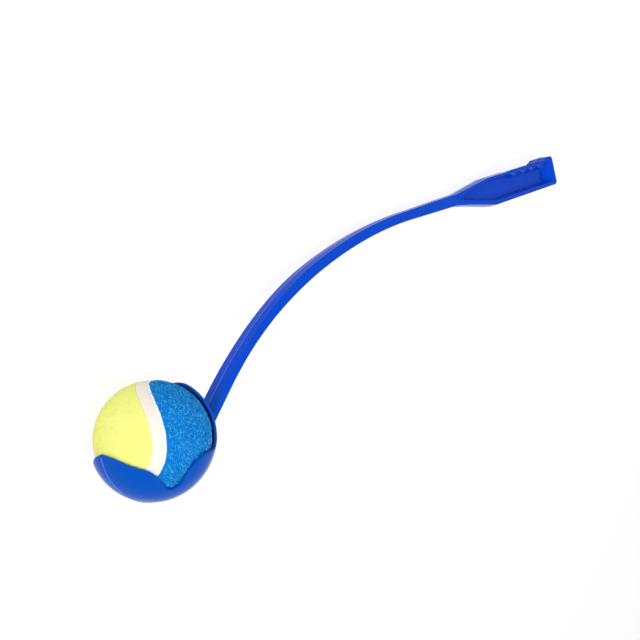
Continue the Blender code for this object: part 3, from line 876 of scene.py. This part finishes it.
def ragged(turn, seed, amount):
    """How far a cut edge strays here: slow and quick waves that join up round the ball."""
    spot = seam_point(turn)
    slow = noise.noise(spot * SLOW_STRAY + Vector((seed, 0, 0)))
    quick = noise.noise(spot * QUICK_STRAY + Vector((0, seed, 0)))
    return amount * (0.5 * slow + 0.9 * quick)


def nap_height(direction, lift):
    """How far the nap stands above or below the ball's radius in this direction."""
    return lift * sum(share * noise.noise(direction * wave) for wave, share in NAP_WAVES)


SEAM_TURNS = [2 * pi * (i + 0.5) / SEAM_STEPS for i in range(SEAM_STEPS)]

# %% A panel
EDGE_ROLL = 1.0 * MM
EDGE_SINK = 0.45 * MM
ROLL_SHARES = (1.0, 0.72, 0.48, 0.28, 0.12, 0.0)
PANEL_RINGS = 40
FOOT_RINGS = 6


def panel_spoke(middle, edge, lift):
    """Points from the panel's middle line out to its edge, down the rolled edge and back underneath."""
    roll = EDGE_ROLL / (middle.angle(edge) * BALL_RADIUS)
    points = []
    for k in range(PANEL_RINGS):
        spot = between(middle, edge, (1 - roll) * k / PANEL_RINGS)
        points.append(spot * (BALL_RADIUS + nap_height(spot, lift)))
    for share in ROLL_SHARES:
        spot = between(middle, edge, 1 - roll * share)
        sink = EDGE_SINK * (1 - sqrt(1 - (1 - share) ** 2))
        points.append(spot * (BALL_RADIUS + nap_height(spot, lift) - sink))
    for k in range(FOOT_RINGS):
        points.append(between(middle, edge, 1 - k / (FOOT_RINGS - 1)) * FELT_INNER)
    return [BALL_TURN @ point for point in points]


def felt_panel(name, side, overlap, stray, lift, material):
    """One dumbbell of felt whose edge lies overlap nearer the seam than the panel's own cut."""
    pole = Vector((0, 0, side))
    length = Vector((1, -side, 0)).normalized()
    points, faces = [], []
    size = PANEL_RINGS + len(ROLL_SHARES) + FOOT_RINGS
    for i, turn in enumerate(SEAM_TURNS):
        edge = beside_seam(turn, side * (FELT_START - overlap + ragged(turn, side, stray)))
        angle = MIDDLE_LINE_SHARE * atan2(edge.dot(length), edge.dot(pole))
        middle = pole * cos(angle) + length * sin(angle)
        points += panel_spoke(middle, edge, lift)
        here, there = i * size, (i + 1) % SEAM_STEPS * size
        faces += [(here + j, here + j + 1, there + j + 1, there + j) for j in range(size - 1)]
    panel = make_piece(name, points, faces, material, CLOTH_SHARP_FROM)
    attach(panel, "ball")
    return panel


# %% [markdown]
# The yellow panel is cut neatly and laid close to the band. The blue one is cut raggedly, and its nap is
# higher.

# %% The two panels
YELLOW_OVERLAP, BLUE_OVERLAP = 0.85 * MM, 0.2 * MM
YELLOW_STRAY, BLUE_STRAY = 0.12 * MM, 0.5 * MM
SHORT_NAP, HIGH_NAP = 0.10 * MM, 0.22 * MM

yellow_panel = felt_panel("yellow_felt_panel", 1, YELLOW_OVERLAP, YELLOW_STRAY, SHORT_NAP, yellow_cloth)
blue_panel = felt_panel("blue_felt_panel", -1, BLUE_OVERLAP, BLUE_STRAY, HIGH_NAP, blue_cloth)
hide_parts("yellow_felt")
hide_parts("blue_felt")
print("panel faces:", len(yellow_panel.data.polygons), len(blue_panel.data.polygons))

# %% [markdown]
# The band and the two beads of cement are closed strips along the same curve. The cement fills the
# join from the band's edge to the panel's. By the blue panel it shows as a bright line, because the
# ragged blue edge leaves more of it bare. By the yellow panel it lies deeper, and the cloth hides it.

# %% The band and the cement
BAND_EDGES = (-BAND_HALF - 0.1 * MM, BAND_HALF + 0.3 * MM)
YELLOW_CEMENT_EDGES = (BAND_HALF, FELT_START + 0.1 * MM)
BLUE_CEMENT_EDGES = (-FELT_START - 0.3 * MM, -BAND_HALF)
YELLOW_CEMENT_SINK = 0.35 * MM
BLUE_CEMENT_SINK = 0.12 * MM
CEMENT_STRAY = 0.05 * MM
BAND_STRAY = 0.08 * MM
YELLOW_CEMENT_LIFT = 0.05 * MM
BLUE_CEMENT_LIFT = 0.08 * MM
BAND_COLUMNS = 18
CEMENT_COLUMNS = 6
STRIP_SINK = 0.6 * EDGE_SINK


def seam_strip(name, edges, radius, columns, lift, stray, material, node):
    """A closed strip along the seam curve; stray moves each edge in and out a little."""
    rows = []
    for turn in SEAM_TURNS:
        start, end = edges[0] + ragged(turn, 3, stray), edges[1] + ragged(turn, 5, stray)
        row = []
        for k in range(columns + 1):
            spot = beside_seam(turn, start + (end - start) * k / columns)
            edge_share = min(k, columns - k) / columns * (end - start) / EDGE_ROLL
            sink = STRIP_SINK * (1 - sqrt(1 - (1 - min(edge_share, 1)) ** 2))
            row.append(BALL_TURN @ spot * (radius + nap_height(spot, lift) - sink))
        row += [BALL_TURN @ beside_seam(turn, at) * FELT_INNER for at in (end, start)]
        rows.append(row)
    strip = make_piece(name, *skin(rows, closed=True), material, CLOTH_SHARP_FROM)
    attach(strip, "ball")
    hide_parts(node)
    return strip


strips = [
    seam_strip(
        "white_felt_strip", BAND_EDGES, BALL_RADIUS, BAND_COLUMNS, SHORT_NAP, BAND_STRAY,
        white_cloth, "white_felt_band",
    ),
    seam_strip(
        "yellow_join_cement", YELLOW_CEMENT_EDGES, BALL_RADIUS - YELLOW_CEMENT_SINK, CEMENT_COLUMNS,
        YELLOW_CEMENT_LIFT, CEMENT_STRAY, cement, "yellow_side_cement",
    ),
    seam_strip(
        "blue_join_cement", BLUE_CEMENT_EDGES, BALL_RADIUS - BLUE_CEMENT_SINK, CEMENT_COLUMNS,
        BLUE_CEMENT_LIFT, CEMENT_STRAY, cement, "blue_side_cement",
    ),
]
print("strip faces:", [len(strip.data.polygons) for strip in strips])

# %% [markdown]
# ## Loose fibres
#
# Up close a felt ball is fluffy: single fibres leave the cloth, curl and dive back in. Each fibre here
# is a thin three-sided tube along a curved path that starts and ends just under the cloth. Real fibres
# are 0.03 mm thick, which no pixel of this picture could show, so the blue ones are drawn about ten
# times as thick and the yellow ones about five times. All of a panel's fibres are one mesh, made from
# arrays in one go.

# %% Where the fibres start
FIBRE_MARGIN = 5.6 * MM
LEAST_HEIGHT = 0.6 * MM


def spots_on(cloth, count, chance):
    """Random places on a cloth's outer face, well away from the seam, from the ball's centre."""
    data = cloth.data
    data.calc_loop_triangles()
    spots = np.empty(len(data.vertices) * 3)
    data.vertices.foreach_get("co", spots)
    spots = spots.reshape(-1, 3) - np.array(BALL_CENTRE)
    corners = np.empty(len(data.loop_triangles) * 3, dtype=np.int64)
    data.loop_triangles.foreach_get("vertices", corners)
    a, b, c = (spots[corners.reshape(-1, 3)[:, k]] for k in range(3))
    area = np.linalg.norm(np.cross(b - a, c - a), axis=1)
    middle = (a + b + c) / 3
    reach = np.linalg.norm(middle, axis=1, keepdims=True)
    seam = np.array([LYING.to_3x3() @ BALL_TURN @ seam_point(turn) for turn in SEAM_TURNS])
    from_seam = np.arccos(np.clip((middle / reach @ seam.T).max(axis=1), -1, 1)) * BALL_RADIUS
    area[(reach[:, 0] < BALL_RADIUS - LEAST_HEIGHT) | (from_seam < FIBRE_MARGIN)] = 0
    picked = chance.choice(len(area), count, p=area / area.sum())
    u, v = chance.random((2, count, 1))
    u, v = np.where(u + v > 1, 1 - u, u), np.where(u + v > 1, 1 - v, v)
    return a[picked] + (b - a)[picked] * u + (c - a)[picked] * v


# %% How the fibres run
FIBRE_STEPS = 5
LENGTH_SHARES = (0.5, 1.3)
LIFT_SHARES = (0.3, 1.0)
CURL = 0.55
WOBBLE = 0.25
START_DEPTH_SHARE = 0.7


def lengths_of(rows):
    """The length of each vector in the last axis of an array."""
    return np.linalg.norm(rows, axis=-1, keepdims=True)


def fibre_paths(start, length, thickness, lift, chance):
    """Curled paths over the ball, one to a row, that leave the cloth and come back to it."""
    count = len(start)
    ahead = np.cross(start / lengths_of(start), chance.normal(size=(count, 3)))
    ahead /= lengths_of(ahead)
    aside = np.cross(start / lengths_of(start), ahead)
    step = length * chance.uniform(*LENGTH_SHARES, (count, 1)) / (FIBRE_STEPS - 1)
    curl = chance.normal(0, CURL, (count, 1))
    rise = lift * chance.uniform(*LIFT_SHARES, (count, 1))
    ground = lengths_of(start) - thickness * START_DEPTH_SHARE
    flat = start.copy()
    heading = np.zeros((count, 1))
    path = []
    for k in range(FIBRE_STEPS):
        level = ground + rise * np.sin(pi * k / (FIBRE_STEPS - 1))
        path.append(flat / lengths_of(flat) * level)
        heading = heading + curl + chance.normal(0, WOBBLE, (count, 1))
        flat = flat + (ahead * np.cos(heading) + aside * np.sin(heading)) * step
    return np.stack(path, axis=1)


# %% A three-sided tube round each path
SIDES = 3
BLUNT_SHARE = 0.1


def tubes(path, thickness):
    """Points and faces of tapered tubes round the paths, both ends closed."""
    tangent = np.gradient(path, axis=1)
    tangent /= lengths_of(tangent)
    above = path / lengths_of(path)
    beside = np.cross(tangent, above)
    along = np.arange(FIBRE_STEPS) / (FIBRE_STEPS - 1)
    taper = np.sin(pi * (along * (1 - 2 * BLUNT_SHARE) + BLUNT_SHARE))[None, :, None]
    width = thickness * taper
    tube = np.stack([path + beside * width, path + above * width, path - beside * width], axis=2)
    size = FIBRE_STEPS * SIDES
    one = []
    for here in range(0, size - SIDES, SIDES):
        for j in range(SIDES):
            k = (j + 1) % SIDES
            one.append((here + j, here + k, here + SIDES + k, here + SIDES + j))
    one += [(2, 1, 0), (size - 3, size - 2, size - 1)]
    faces = [tuple(index + i * size for index in face) for i in range(len(path)) for face in one]
    return tube.reshape(-1, 3), faces


def loose_fibres(name, cloth, count, length, thickness, lift, seed, material):
    """Curled fibres over the outer face of a cloth piece."""
    chance = np.random.default_rng(seed)
    start = spots_on(cloth, count, chance)
    points, faces = tubes(fibre_paths(start, length, thickness, lift, chance), thickness)
    mesh = bpy.data.meshes.new(name)
    mesh.from_pydata((points + np.array(BALL_CENTRE)).tolist(), [], faces)
    mesh.shade_smooth()
    mesh.materials.append(material)
    piece = bpy.data.objects.new(name, mesh)
    bpy.context.scene.collection.objects.link(piece)
    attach(piece, "ball")
    return piece


# %% The fibres of both panels
blue_fibres = loose_fibres(
    "blue_felt_fibres", blue_panel, count=6000, length=2.6 * MM, thickness=0.17 * MM, lift=0.34 * MM,
    seed=11, material=blue_fibre,
)
yellow_fibres = loose_fibres(
    "yellow_felt_fibres", yellow_panel, count=1800, length=2.2 * MM, thickness=0.07 * MM, lift=0.16 * MM,
    seed=12, material=yellow_fibre,
)
print("fibre faces:", len(blue_fibres.data.polygons), len(yellow_fibres.data.polygons))

# %% [markdown]
# ## Floor and light
#
# The photograph is cut out on pure white. A white floor would have to be lit until it clips, and the
# object with it. Instead the floor shines a little by itself for the rays that show the background, and
# its diffuse part still takes the object's shadow. The light on the object stays plain: a large soft
# lamp overhead, one from the camera's side, and a weak one from the far side for the arm's edge.

# %% The floor
FLOOR_RADIUS = 6
FLOOR_SIDES = 96
FLOOR_DROP = 0.05 * MM
SHADOW_SHARE = 0.22
SHINE = 0.86


def background_rays(tree):
    """1 for the rays that show the background: straight from the camera, mirrored or through glass."""
    rays = add_node(tree, "LightPath")
    shown = rays.outputs["Is Camera Ray"]
    for kind in ("Is Glossy Ray", "Is Transmission Ray"):
        either = add_node(tree, "Math", {0: shown, 1: rays.outputs[kind]}, operation="MAXIMUM")
        shown = either.outputs[0]
    return shown


floor_material = bpy.data.materials.new("white_studio_floor")
floor_material.use_nodes = True
tree = floor_material.node_tree
tree.nodes.clear()
shown = background_rays(tree)
paper = add_node(tree, "BsdfDiffuse", {"Color": linear("#E6E6E6")})
shaded = add_node(tree, "BsdfDiffuse", {"Color": (SHADOW_SHARE, SHADOW_SHARE, SHADOW_SHARE, 1)})
glow = add_node(tree, "Emission", {"Color": linear("#FFFFFF"), "Strength": SHINE})
bright = add_node(tree, "AddShader", {0: shaded.outputs[0], 1: glow.outputs[0]})
mix = add_node(tree, "MixShader", {0: shown, 1: paper.outputs[0], 2: bright.outputs[0]})
add_node(tree, "OutputMaterial", {"Surface": mix.outputs[0]})
rim_of_floor = []
for i in range(FLOOR_SIDES):
    turn = 2 * pi * i / FLOOR_SIDES
    rim_of_floor.append((FLOOR_RADIUS * cos(turn), FLOOR_RADIUS * sin(turn), -FLOOR_DROP))
floor_mesh = bpy.data.meshes.new("studio_floor")
floor_mesh.from_pydata(rim_of_floor, [], [tuple(range(FLOOR_SIDES))])
floor_mesh.materials.append(floor_material)
floor = bpy.data.objects.new("studio_floor", floor_mesh)
bpy.context.scene.collection.objects.link(floor)
floor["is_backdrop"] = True

# %% The lamps and the world
ARM_NEAR_CUP = (-0.19, 0.02, 0.03)
WORLD_LIGHT = 0.45
WORLD_SHOWN = 1.0


def soft_lamp(name, spot, aim, size, power):
    """A square lamp at spot that faces aim, with power in watts."""
    lamp = bpy.data.lights.new(name, "AREA")
    lamp.shape = "SQUARE"
    lamp.size = size
    lamp.energy = power
    holder = bpy.data.objects.new(name, lamp)
    holder.location = spot
    holder.rotation_euler = (Vector(aim) - Vector(spot)).to_track_quat("-Z", "Y").to_euler()
    bpy.context.scene.collection.objects.link(holder)


soft_lamp("overhead_softbox", (-0.35, -0.1, 1.25), (0, 0, 0), 0.9, 7.4)
soft_lamp("camera_side_softbox", (-1.2, 0.65, 0.55), BALL_CENTRE, 0.8, 6.4)
soft_lamp("far_side_softbox", (-0.27, 1.3, 0.28), ARM_NEAR_CUP, 0.4, 2)
world = bpy.data.worlds.new("studio")
bpy.context.scene.world = world
world.use_nodes = True
tree = world.node_tree
surround = tree.nodes["Background"]
surround.inputs["Color"].default_value = linear("#FFFFFF")
level = add_node(tree, "MapRange", {
    "Value": background_rays(tree), "To Min": WORLD_LIGHT, "To Max": WORLD_SHOWN,
})
tree.links.new(level.outputs["Result"], surround.inputs["Strength"])
bpy.context.scene.view_settings.view_transform = "Standard"
print("lamps:", len(bpy.data.lights))

# %% [markdown]
# ## The camera
#
# The camera is placed so that the cup's parting line, the ball's outline and the arm's narrowing width
# fall where they do in the photograph. Those alone don't fix its focal length, which was chosen so that
# the thrower comes out about 50 cm long.

# %% Place the camera
SENSOR = 36
LENS = 55.173
CAMERA_SPOT = (-0.489199, 0.343313, 0.372195)
CAMERA_TURNS = (radians(-32.98601), radians(-50.0226), radians(1.02266))

camera_data = bpy.data.cameras.new("photo_camera")
camera_data.sensor_width = SENSOR
camera_data.lens = LENS
camera_data.clip_start = 0.01
camera = bpy.data.objects.new("photo_camera", camera_data)
camera.location = CAMERA_SPOT
camera.rotation_euler = CAMERA_TURNS
bpy.context.scene.collection.objects.link(camera)
bpy.context.scene.camera = camera

# %% The box round the shown pieces
low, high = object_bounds()
